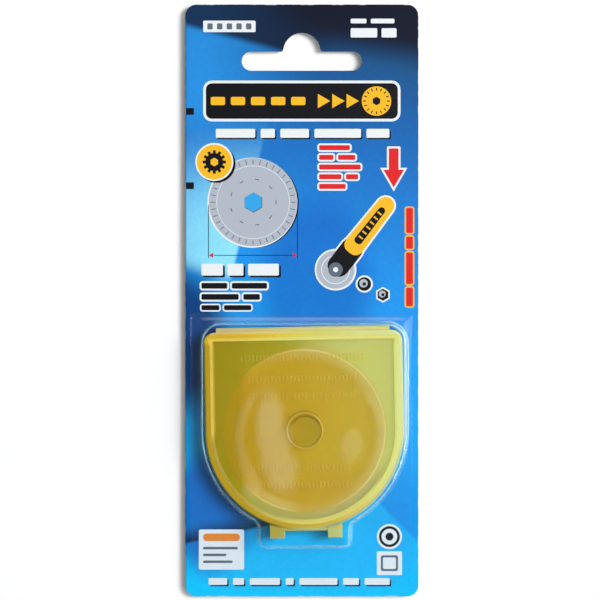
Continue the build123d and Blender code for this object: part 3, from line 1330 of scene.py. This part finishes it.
@dataclass
class BladePicture:
    """Printed round blade with its marks, a measuring line and a badge with a small blade."""

    middle: Spot = (-13.6, 27.4)
    radius: float = 12.4
    hole: float = 2.7
    mark: Spot = (1.3, 0.22)
    mark_count: int = 36
    inner_mark: Spot = (1.1, 0.26)
    inner_count: int = 9
    inner_radius: float = 6.4
    line: float = 12.6
    end_line: float = 0.16
    arrow: float = 0.8
    badge: Spot = (-24.4, 38.6)
    badge_radius: float = 5.3
    tooth: Spot = (1.1, 0.8)
    tooth_count: int = 12

    def draw(self, press: Press) -> None:
        """Print the picture.

        Args:
            press: The press.
        """
        x, y = self.middle
        press.disc(Ink.BLACK, (x + 0.35, y - 0.3), self.radius, 1, 96)
        press.disc(Ink.WHITE, (x - 0.2, y - 0.15), self.radius + 0.15, 2, 96)
        press.disc(Ink.STEEL, self.middle, self.radius - 0.1, 3, 96)
        press.ring(Ink.WHITE, self.middle, self.radius - 2.2, 0.14, 4)
        press.spokes(Ink.SLATE, self.middle, self.radius - 1.2, self.mark, self.mark_count, 4)
        press.spokes(
            Ink.SLATE, self.middle, self.inner_radius, self.inner_mark, self.inner_count, 4,
            across=True,
        )
        press.disc(Ink.SLATE, (x + 0.1, y - 0.1), self.hole + 0.15, 4, 6)
        press.disc(Ink.SKY, self.middle, self.hole, 5, 6)
        self.measure(press)
        self.label(press)

    def measure(self, press: Press) -> None:
        """Print the measuring line under the disc.

        Args:
            press: The press.
        """
        x, y = self.middle
        height = (y + self.line) / 2 - 0.8
        for side in (-1, 1):
            edge = x + side * self.radius
            size = (y - self.line, self.end_line)
            press.bar(Ink.BLACK, (edge, height), size, 4, 0.02, 90)
            press.disc(Ink.RED, (edge - side * 0.9, self.line), self.arrow, 4, 3, -90 * side)
        press.bar(Ink.BLACK, (x, self.line), (2 * self.radius - 3, 0.18), 4, 0.02)

    def label(self, press: Press) -> None:
        """Print the badge.

        Args:
            press: The press.
        """
        x, y = self.badge
        press.disc(Ink.BLACK, (x + 0.6, y - 0.5), self.badge_radius, 4)
        press.disc(Ink.WHITE, self.badge, self.badge_radius, 5)
        press.disc(Ink.YELLOW, self.badge, self.badge_radius - 0.45, 6)
        press.spokes(Ink.BLACK, self.badge, 2.7, self.tooth, self.tooth_count, 7)
        press.disc(Ink.BLACK, self.badge, 2.5, 8)
        press.disc(Ink.YELLOW, self.badge, 1.2, 9, 6)


@dataclass
class CutterPicture:
    """Plain round-blade cutter with its nut and washer beside it."""

    hub: Spot = (9.4, 8.6)
    turn: float = 52.0
    blade: float = 5.3
    halo: float = 0.5
    guard_place: float = 4.4
    handle_place: float = 15.6
    guard: Spot = (12.0, 6.2)
    handle: Spot = (19.0, 5.8)
    grip: Spot = (12.4, 2.4)
    taper: float = 0.8
    groove: Spot = (0.45, 1.4)
    groove_count: int = 6
    first_groove: float = 11.4
    groove_pitch: float = 1.7

    def on_axis(self, along: float) -> Spot:
        """The place at a distance from the hub along the handle."""
        angle = math.radians(self.turn)
        return self.hub[0] + along * math.cos(angle), self.hub[1] + along * math.sin(angle)

    def draw(self, press: Press) -> None:
        """Print the cutter from its blade up to the end of its handle.

        Args:
            press: The press.
        """
        handle, guard = self.on_axis(self.handle_place), self.on_axis(self.guard_place)
        wide_guard = tuple(side + 2 * self.halo for side in self.guard)
        wide_handle = tuple(side + 2 * self.halo for side in self.handle)
        press.disc(Ink.WHITE, self.hub, self.blade + self.halo, 1)
        press.bar(Ink.WHITE, guard, wide_guard, 2, 3.4, self.turn)
        press.bar(Ink.WHITE, handle, wide_handle, 3, 3.2, self.turn, 0.84)
        press.disc(Ink.STEEL, self.hub, self.blade, 4)
        press.ring(Ink.WHITE, self.hub, self.blade - 1.3, 0.2, 5)
        press.bar(Ink.BLACK, guard, self.guard, 6, 2.9, self.turn)
        press.bar(Ink.YELLOW, handle, self.handle, 7, 2.7, self.turn, self.taper)
        press.bar(Ink.BLACK, handle, self.grip, 8, 1.1, self.turn, self.taper)
        for number in range(self.groove_count):
            place = self.on_axis(self.first_groove + self.groove_pitch * number)
            press.bar(Ink.YELLOW, place, self.groove, 9, 0.1, self.turn)
        press.disc(Ink.SLATE, self.hub, 2.0, 7)
        press.disc(Ink.WHITE, self.hub, 0.7, 8)
        self.loose(press)

    def loose(self, press: Press) -> None:
        """Print the washer and the nut.

        Args:
            press: The press.
        """
        for middle, radius, sides in (((17.4, 4.6), 1.9, 64), ((22.6, 1.6), 1.7, 6)):
            press.disc(Ink.WHITE, middle, radius + self.halo, 1, sides)
            press.disc(Ink.BLACK, middle, radius, 2, sides)
            press.disc(Ink.STEEL, (middle[0] - 0.2, middle[1] + 0.2), radius * 0.62, 3, sides)
            press.disc(Ink.BLACK, middle, radius * 0.25, 4)


@dataclass
class DownArrow:
    """Red arrow with a white outline that points at the case."""

    tip_middle: Spot = (25.6, 34.8)
    size: float = 3.3
    stem: Spot = (7.0, 2.7)
    border: float = 0.55

    def draw(self, press: Press) -> None:
        """Print the arrow over its outline.

        Args:
            press: The press.
        """
        x, y = self.tip_middle
        for ink, grow, level in ((Ink.WHITE, self.border, 1), (Ink.RED, 0.0, 3)):
            press.disc(ink, self.tip_middle, self.size + 2 * grow, level, 3, 180)
            wide = (self.stem[0] + 2 * grow, self.stem[1] + 2 * grow)
            press.bar(ink, (x, y + self.stem[0] / 2 + 0.6), wide, level + 1, 0.3, 90)


@dataclass
class SmallMarks:
    """Plain boxes, rings and register marks at the corners and edges of the card."""

    register: Spot = (2.2, 1.9)
    register_heights: tuple[float, ...] = (52.7, 32.0)
    strip: Spot = (-20.2, 76.4)
    strip_size: Spot = (14.6, 3.2)
    first_square: float = -25.6
    square_pitch: float = 2.7
    square_count: int = 5
    label: Spot = (-22.4, -69.4)
    label_size: Spot = (12.6, 11.2)
    label_lines: tuple[float, ...] = (9.6, 6.4, 8.2)
    ring: Spot = (24.4, -65.8)
    box: Spot = (24.4, -73.2)

    def draw(self, press: Press) -> None:
        """Print the marks.

        Args:
            press: The press.
        """
        for height in self.register_heights:
            press.bar(Ink.BLACK, (-31.2, height), self.register, 1, 0.05)
        press.bar(Ink.WHITE, self.strip, self.strip_size, 1)
        for number in range(self.square_count):
            place = (self.first_square + self.square_pitch * number, self.strip[1])
            press.bar(Ink.SLATE, place, (1.5, 1.7), 2)
        press.bar(Ink.WHITE, self.label, self.label_size, 1, 0.5)
        press.bar(Ink.ORANGE, (self.label[0], -66.0), (10.2, 2.1), 2, 0.9)
        for number, length in enumerate(self.label_lines):
            place = (-27.5 + length / 2, -69.0 - 1.9 * number)
            press.bar(Ink.SLATE, place, (length, 0.7), 2, 0.2)
        press.disc(Ink.WHITE, self.ring, 3.5, 1)
        press.ring(Ink.BLACK, self.ring, 2.9, 0.7, 2)
        press.disc(Ink.BLACK, self.ring, 1.1, 2)
        for ink, size, level, corner in (
            (Ink.WHITE, (7.0, 6.6), 1, 0.3), (Ink.SLATE, (4.8, 4.4), 2, 0.6),
            (Ink.WHITE, (3.6, 3.2), 3, 0.4),
        ):
            press.bar(ink, self.box, size, level, corner)


OVER_BLACK = (Ink.BLACK, (0.4, -0.4))
ON_WHITE = (Ink.WHITE, 0.5)
ROWS = (
    Row(Ink.WHITE, (13.6, 77.9), 1.3, (4.4, 6.6), 1.2),
    Row(Ink.WHITE, (13.6, 74.6), 2.6, (7.4, 4.2), 1.2, shadow=OVER_BLACK),
    Row(Ink.WHITE, (-24.0, 46.6), 2.5, (11.0, 4.0, 8.0, 13.0, 6.4), 1.5, shadow=OVER_BLACK),
    Row(Ink.RED, (4.8, 42.6), 1.4, (8.6,), outline=ON_WHITE),
    Row(Ink.RED, (4.8, 39.9), 1.4, (4.0, 4.8), outline=ON_WHITE),
    Row(Ink.RED, (4.8, 37.2), 1.4, (11.6,), outline=ON_WHITE),
    Row(Ink.RED, (4.8, 34.5), 1.4, (6.2, 3.4), outline=ON_WHITE),
    Row(Ink.RED, (4.8, 31.8), 1.4, (7.4,), outline=ON_WHITE),
    Row(Ink.WHITE, (-28.0, 8.6), 3.3, (6.0, 4.4, 8.6), 1.3, shadow=(Ink.BLACK, (0.55, -0.5))),
    Row(Ink.BLACK, (-28.0, 4.1), 1.6, (7.2, 9.8), outline=ON_WHITE),
    Row(Ink.BLACK, (-28.0, 1.0), 1.6, (10.4, 4.6), outline=ON_WHITE),
    Row(Ink.BLACK, (-28.0, -2.0), 1.4, (5.0, 7.6), outline=(Ink.WHITE, 0.4)),
    Row(Ink.RED, (30.0, -1.6), 1.9, (5.2, 8.8, 3.4, 7.0), 1.0, 90, outline=(Ink.YELLOW, 0.4)),
    Row(
        Ink.WHITE, (-26.0, -78.3), 1.9, (5.2, 3.1, 8.4, 2.2, 10.6, 4.4, 7.0), 1.6,
        shadow=OVER_BLACK,
    ),
)


@dataclass
class BackingCard:
    """The card with its print."""

    node: str = "backing_card"

    def build(self) -> list[bpy.types.Object]:
        """Dress the card's own solid and print on it.

        Returns:
            The sheets of ink.
        """
        dress(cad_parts[self.node], PrintedBoard().make())
        press = Press()
        motifs = (HeaderBand(), BladePicture(), CutterPicture(), DownArrow(), SmallMarks())
        for motif in (*motifs, *ROWS):
            motif.draw(press)
        return press.pull()


@dataclass
class Blade:
    """The round blade in its case."""

    node: str = "blade"

    def build(self) -> list[bpy.types.Object]:
        """Dress the blade's own solid."""
        dress(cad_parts[self.node], BladeSteel().make())
        return []


@dataclass
class BladeCase:
    """The shut case, with the fine ribs and the hub's ring on its lid."""

    node: str = "blade_case"
    rows: tuple[tuple[float, float, float], ...] = (
        (20.2, -17.0, 17.4), (14.4, -15.0, 16.6), (9.6, -15.0, 16.4),
        (-10.2, -15.0, 13.6), (-15.0, -12.4, 13.8),
    )
    rib: Spot = (0.44, 1.9)
    rib_pitch: float = 1.04
    rib_height: float = 0.1
    rib_round: float = 0.09
    sunk: float = 0.05
    ring_radius: float = 4.9
    ring_width: float = 0.66
    ring_rise: float = 0.55

    def build(self) -> list[bpy.types.Object]:
        """Dress the case's own solid and mould the relief on its lid.

        Returns:
            The pieces of the relief.
        """
        dress(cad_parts[self.node], CasePlastic().make())
        pale = ReliefPlastic("rib_plastic", srgb(252, 228, 116), share=0.16)
        deep = ReliefPlastic("ring_plastic", srgb(228, 194, 66), share=0.5)
        return [
            as_piece(self.ribs(), "lid_ribs", pale.make()),
            as_piece(self.ring(), "lid_hub_ring", deep.make()),
        ]

    def on_lid(self, bm: bmesh.types.BMesh) -> bmesh.types.BMesh:
        """Move a relief made about the hub in millimetres to its place on the turned lid.

        Args:
            bm: The relief.

        Returns:
            The same relief, in metres.
        """
        turn = Matrix.Rotation(math.radians(CASE_TURN), 3, "Z")
        bmesh.ops.rotate(bm, cent=(0, 0, 0), matrix=turn, verts=bm.verts)
        bmesh.ops.translate(bm, vec=(*HUB, PANEL_FACE), verts=bm.verts)
        bmesh.ops.scale(bm, vec=(MM, MM, MM), verts=bm.verts)
        bmesh.ops.recalc_face_normals(bm, faces=bm.faces)
        return bm

    def ribs(self) -> bmesh.types.BMesh:
        """Rows of fine upright ribs.

        Returns:
            The ribs, at their place.
        """
        bm = bmesh.new()
        height = self.rib_height + self.sunk
        for y, left, right in self.rows:
            for number in range(int((right - left) / self.rib_pitch)):
                place = Matrix.Translation((left + number * self.rib_pitch, y, 0))
                size = Matrix.Diagonal((*self.rib, height, 1))
                lift = Matrix.Translation((0, 0, self.rib_height - height / 2))
                bmesh.ops.create_cube(bm, size=1, matrix=place @ lift @ size)
        tops = [e for e in bm.edges if all(v.co.z > 0 for v in e.verts)]
        bmesh.ops.bevel(bm, geom=tops, offset=self.rib_round, segments=2, profile=0.5,
                        affect="EDGES", material=-1, clamp_overlap=True)
        return self.on_lid(bm)

    def ring(self) -> bmesh.types.BMesh:
        """A low round ring over the hub.

        Returns:
            The ring, at its place.
        """
        bm = bmesh.new()
        upright = Matrix.Rotation(math.pi / 2, 4, "X")
        section = bmesh.ops.create_circle(
            bm, segments=16, radius=self.ring_width / 2,
            matrix=Matrix.Translation((self.ring_radius, 0, 0)) @ upright,
        )["verts"]
        bmesh.ops.scale(bm, vec=(1, 1, self.ring_rise), verts=section)
        bmesh.ops.spin(bm, geom=bm.edges[:], cent=(0, 0, 0), axis=(0, 0, 1), angle=2 * math.pi,
                       steps=96, use_merge=True)
        bmesh.ops.remove_doubles(bm, verts=bm.verts, dist=0.001)
        for face in bm.faces:
            face.smooth = True
        return self.on_lid(bm)


@dataclass
class Blister:
    """The clear formed sheet over the case."""

    node: str = "blister"
    seal: float = 0.05
    sharp_angle: float = 50.0

    def build(self) -> list[bpy.types.Object]:
        """Make the sheet from the solid's form, lifted by the thickness of its seal.

        Returns:
            The sheet, which is shown in place of the solid.
        """
        bm = bmesh.new()
        bm.from_mesh(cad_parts[self.node].data)
        bmesh.ops.remove_doubles(bm, verts=bm.verts, dist=0.001 * MM)
        floor = min(v.co.z for v in bm.verts)
        low = [v for v in bm.verts if v.co.z < floor + self.seal * MM]
        bmesh.ops.translate(bm, vec=(0, 0, self.seal * MM), verts=low)
        for face in bm.faces:
            face.smooth = True
        piece = as_piece(bm, "clear_blister", ClearSheet().make())
        piece.data.set_sharp_from_angle(angle=math.radians(self.sharp_angle))
        shading = piece.modifiers.new("even_shading", "WEIGHTED_NORMAL")
        shading.mode, shading.weight, shading.keep_sharp = "FACE_AREA", 100, True
        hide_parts(self.node)
        return [piece]


def dress(piece: bpy.types.Object, material: bpy.types.Material) -> None:
    """Put one material on a piece in place of all it has."""
    piece.data.materials.clear()
    piece.data.materials.append(material)


def as_piece(
    bm: bmesh.types.BMesh, name: str, material: bpy.types.Material
) -> bpy.types.Object:
    """Turn a bmesh into a piece of the pack.

    Args:
        bm: The shape, at its place. It is freed.
        name: The piece's name.
        material: What it is finished in.

    Returns:
        The new object, riding on the pack.
    """
    mesh = bpy.data.meshes.new(name)
    bm.to_mesh(mesh)
    bm.free()
    piece = bpy.data.objects.new(name, mesh)
    bpy.context.scene.collection.objects.link(piece)
    mesh.materials.append(material)
    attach(piece, BODY)
    return piece


@dataclass
class Studio:
    """Pale floor, soft light from the right and a camera straight above, as in the photograph."""

    camera_height: float = 600 * MM
    picture_width: float = 167.4 * MM
    middle: Spot = (-0.52 * MM, 0.14 * MM)
    sensor: float = 36.0
    floor_half: float = 1.2
    floor_gap: float = 1.2 * MM
    lamp_size: float = 0.8
    key: tuple[float, float, float] = (1.4, 0.35, 1.5)
    key_power: float = 36.0
    top: tuple[float, float, float] = (1.0, 0.2, 2.2)
    top_power: float = 8.0
    zenith: float = 0.13
    horizon: float = 0.85
    to_the_right: float = 0.6

    def build(self) -> list[bpy.types.Object]:
        """Make the floor, the lights, the world and the camera.

        Returns:
            No pieces, because none of these belongs to the pack.
        """
        self.floor()
        self.light("key", self.key, self.key_power)
        self.light("top", self.top, self.top_power)
        self.sky()
        self.camera()
        bpy.context.scene.view_settings.view_transform = "Standard"
        return []

    def floor(self) -> None:
        """A wide pale table top just under the card."""
        bm = bmesh.new()
        bmesh.ops.create_grid(bm, x_segments=1, y_segments=1, size=self.floor_half)
        mesh = bpy.data.meshes.new("floor")
        bm.to_mesh(mesh)
        bm.free()
        table = bpy.data.objects.new("floor", mesh)
        bpy.context.scene.collection.objects.link(table)
        table.location.z = -self.floor_gap
        mesh.materials.append(TableTop().make())

    def sky(self) -> None:
        """Soft light all round, dim straight above, brightest low on the right."""
        world = bpy.data.worlds.new("studio")
        bpy.context.scene.world = world
        world.use_nodes = True
        r = Recipe(world.node_tree, "OutputWorld")
        x, _, z = r.node("SeparateXYZ", {0: r.node("TexCoord").outputs["Generated"]}).outputs
        level = r.between(r.ease(z, 0.0, 1.0), self.horizon, self.zenith)
        side = r.plus(1.0, r.times(x, self.to_the_right))
        strength = r.times(level, side)
        back = r.node("Background", {"Color": (1.0, 1.0, 1.0, 1.0), "Strength": strength})
        r.feed(r.out.inputs["Surface"], back.outputs[0])

    def light(self, name: str, place: tuple[float, float, float], power: float) -> None:
        """A square soft lamp that looks at the middle of the pack.

        Args:
            name: The lamp's name.
            place: Where it hangs, in metres.
            power: Its power in watts.
        """
        data = bpy.data.lights.new(name, "AREA")
        data.size, data.energy = self.lamp_size, power
        lamp = bpy.data.objects.new(name, data)
        lamp.location = place
        lamp.rotation_euler = (-Vector(place)).to_track_quat("-Z", "Y").to_euler()
        bpy.context.scene.collection.objects.link(lamp)

    def camera(self) -> None:
        """Camera that looks straight down."""
        data = bpy.data.cameras.new("camera")
        data.sensor_width = self.sensor
        data.lens = self.sensor * self.camera_height / self.picture_width
        data.clip_start, data.clip_end = 0.01, 10.0
        camera = bpy.data.objects.new("camera", data)
        camera.location = (*self.middle, self.camera_height)
        bpy.context.scene.collection.objects.link(camera)
        bpy.context.scene.camera = camera


def main() -> None:
    """Build the pack's sub-assemblies in order, then the studio round them."""
    logging.basicConfig(level=logging.INFO, format="%(name)s: %(message)s")
    for part in (BackingCard(), Blade(), BladeCase(), Blister(), Studio()):
        names = ", ".join(piece.name for piece in part.build())
        log.info("%s: %s", type(part).__name__, names or "dressed")


if __name__ == "__main__":
    main()
